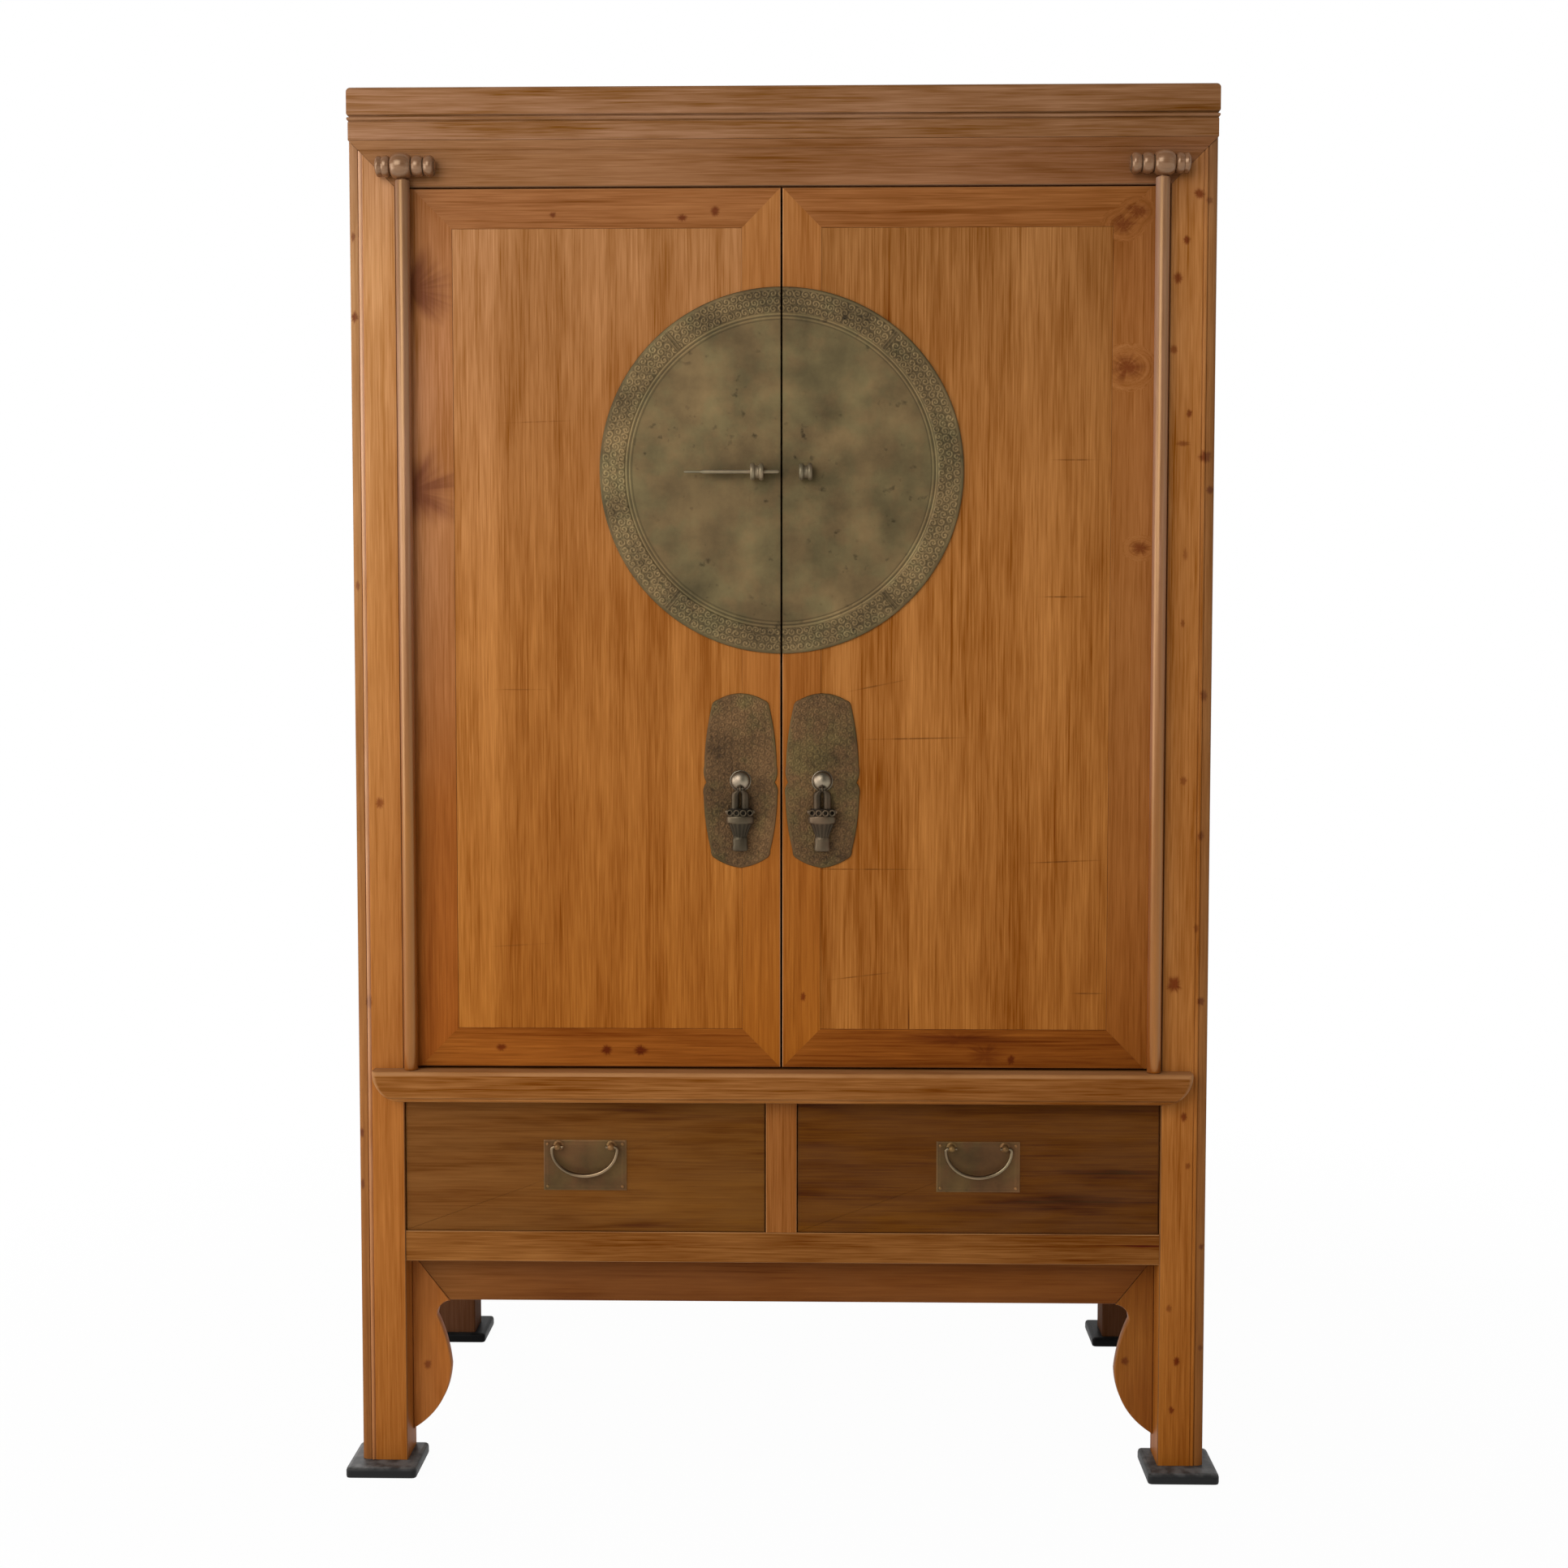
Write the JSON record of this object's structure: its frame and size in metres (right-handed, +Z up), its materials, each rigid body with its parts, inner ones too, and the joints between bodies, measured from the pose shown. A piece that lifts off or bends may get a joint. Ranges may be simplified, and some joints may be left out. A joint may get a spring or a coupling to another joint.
{
  "type": "armoire",
  "caption": "Tall wooden armoire with pole-hung mitred doors, drawers below, a moulded cornice, shaped leg spandrels and aged brass plates, pulls and lock pin.",
  "frame": {"origin": "on the floor under the middle of the case, halfway between the front and rear edges of the foot pads", "axes": "+Z up, the front with its doors faces -Y, +X is the viewer's right when facing the front"},
  "size_m": [1.1326, 0.618, 1.787],
  "materials": {
    "post_wood": "satin varnish, light honey",
    "rail_wood": "satin varnish, reddish brown",
    "panel_wood": "satin varnish, honey orange",
    "drawer_wood": "satin varnish, streaked dark brown",
    "inner_wood": "bare, unfinished",
    "foot_black": "black lacquer, worn",
    "aged_brass": "chased, dark olive patina",
    "worn_brass": "handled bright over patina"
  },
  "bodies": {
    "case": {"post_front_left": "post_wood", "post_front_right": "post_wood", "post_rear_left": "post_wood", "post_rear_right": "post_wood", "foot_pad_front_left": "foot_black", "foot_pad_front_right": "foot_black", "foot_pad_rear_left": "foot_black", "foot_pad_rear_right": "foot_black", "cornice": "rail_wood", "frieze_rail": "rail_wood", "waist_rail": "rail_wood", "drawer_rail": "rail_wood", "drawer_divider": "rail_wood", "apron": "drawer_wood", "spandrel_left": "post_wood", "spandrel_right": "post_wood", "side_top_rail_left": "rail_wood", "side_top_rail_right": "rail_wood", "side_bottom_rail_left": "rail_wood", "side_bottom_rail_right": "rail_wood", "side_panel_left": "panel_wood", "side_panel_right": "panel_wood", "rear_bottom_rail": "rail_wood", "back_panel": "inner_wood", "cupboard_floor": "inner_wood", "shelf": "inner_wood", "drawer_deck": "inner_wood", "hinge_bracket_left": "post_wood", "hinge_bracket_right": "post_wood"},
    "door_left": {"door_left_hinge_stile": "rail_wood", "door_left_meeting_stile": "rail_wood", "door_left_top_rail": "rail_wood", "door_left_bottom_rail": "rail_wood", "door_left_panel": "panel_wood", "door_left_moon_plate": "aged_brass", "door_left_lock_lug": "worn_brass", "door_left_pull_plate": "aged_brass", "door_left_pull_boss": "worn_brass"},
    "door_right": {"door_right_hinge_stile": "rail_wood", "door_right_meeting_stile": "rail_wood", "door_right_top_rail": "rail_wood", "door_right_bottom_rail": "rail_wood", "door_right_panel": "panel_wood", "door_right_moon_plate": "aged_brass", "door_right_lock_lug": "worn_brass", "door_right_pull_plate": "aged_brass", "door_right_pull_boss": "worn_brass"},
    "pendant_left": {"pendant_left": "aged_brass"},
    "pendant_right": {"pendant_right": "aged_brass"},
    "lock_pin": {"lock_pin": "worn_brass"},
    "drawer_left": {"drawer_left_front": "drawer_wood", "drawer_left_box": "inner_wood", "drawer_left_bottom": "inner_wood", "drawer_left_handle_plate": "aged_brass"},
    "drawer_right": {"drawer_right_front": "drawer_wood", "drawer_right_box": "inner_wood", "drawer_right_bottom": "inner_wood", "drawer_right_handle_plate": "aged_brass"},
    "bail_left": {"bail_left": "worn_brass"},
    "bail_right": {"bail_right": "worn_brass"}
  },
  "joints": [
    {"name": "door_left_swing", "type": "hinge", "parent": "case", "child": "door_left", "pos_m": [-0.4788, -0.2912, 0.5335], "axis": [0, 0, -1], "range_deg": [0, 160]},
    {"name": "door_right_swing", "type": "hinge", "parent": "case", "child": "door_right", "pos_m": [0.4788, -0.2912, 0.5335], "axis": [0, 0, 1], "range_deg": [0, 160]},
    {"name": "pendant_left_lift", "type": "hinge", "parent": "door_left", "child": "pendant_left", "pos_m": [-0.0525, -0.2928, 0.898], "axis": [-1, 0, 0], "range_deg": [0, 75]},
    {"name": "pendant_right_lift", "type": "hinge", "parent": "door_right", "child": "pendant_right", "pos_m": [0.0525, -0.2928, 0.898], "axis": [-1, 0, 0], "range_deg": [0, 75]},
    {"name": "lock_pin_slide", "type": "slide", "parent": "door_left", "child": "lock_pin", "axis": [1, 0, 0], "range_m": [0, 0.05]},
    {"name": "drawer_left_slide", "type": "slide", "parent": "case", "child": "drawer_left", "axis": [0, -1, 0], "range_m": [0, 0.36]},
    {"name": "drawer_right_slide", "type": "slide", "parent": "case", "child": "drawer_right", "axis": [0, -1, 0], "range_m": [0, 0.36]},
    {"name": "bail_left_lift", "type": "hinge", "parent": "drawer_left", "child": "bail_left", "pos_m": [-0.25525, -0.2881, 0.43275], "axis": [-1, 0, 0], "range_deg": [0, 85]},
    {"name": "bail_right_lift", "type": "hinge", "parent": "drawer_right", "child": "bail_right", "pos_m": [0.25525, -0.2881, 0.43275], "axis": [-1, 0, 0], "range_deg": [0, 85]}
  ]
}
